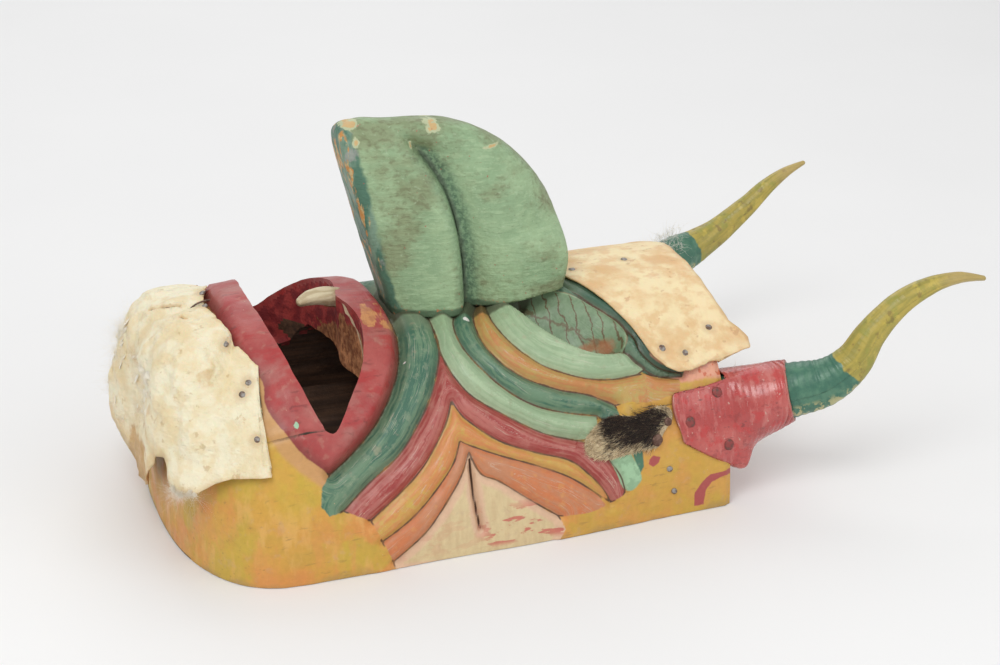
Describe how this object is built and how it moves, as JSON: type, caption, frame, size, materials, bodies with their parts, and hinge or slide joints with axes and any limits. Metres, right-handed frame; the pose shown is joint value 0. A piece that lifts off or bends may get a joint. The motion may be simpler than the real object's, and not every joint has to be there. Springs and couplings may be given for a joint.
{
  "type": "horned dance mask",
  "caption": "Carved and painted wooden dance mask with a large nose, an open mouth, two real horns and nailed rawhide.",
  "frame": {"origin": "on the flat back rim, in the middle of the chin's wall, on the mask's centre line", "axes": "+X from the chin to the forehead and the horns, +Z out of the face, +Y to the mask's right"},
  "size_m": [0.7296, 0.3672, 0.3369],
  "materials": {
    "painted_wood": "satin",
    "nose_wood": "satin",
    "bare_wood": "matte",
    "tooth_wood": "satin",
    "rawhide": "matte",
    "pale_fur": "matte",
    "dark_fur": "matte",
    "horn": "satin",
    "red_leather": "satin",
    "tack_iron": "satin"
  },
  "bodies": {
    "root": {"mask_body": "painted_wood", "nose": "nose_wood", "nose_pegs": "bare_wood", "upper_tooth": "tooth_wood", "tooth_peg": "bare_wood", "beard_hide": "rawhide", "beard_tacks": "tack_iron", "beard_wire": "tack_iron", "forehead_hide": "rawhide", "forehead_tacks": "tack_iron", "temple_fur_left": "dark_fur", "temple_fur_right": "dark_fur", "temple_tacks_left": "tack_iron", "temple_tacks_right": "tack_iron", "horn_left": "horn", "horn_right": "horn", "horn_plug_left": "bare_wood", "horn_plug_right": "bare_wood", "cuff_left": "red_leather", "cuff_right": "red_leather", "cuff_tacks_left": "tack_iron", "cuff_tacks_right": "tack_iron", "side_nails": "tack_iron"}
  },
  "joints": []
}
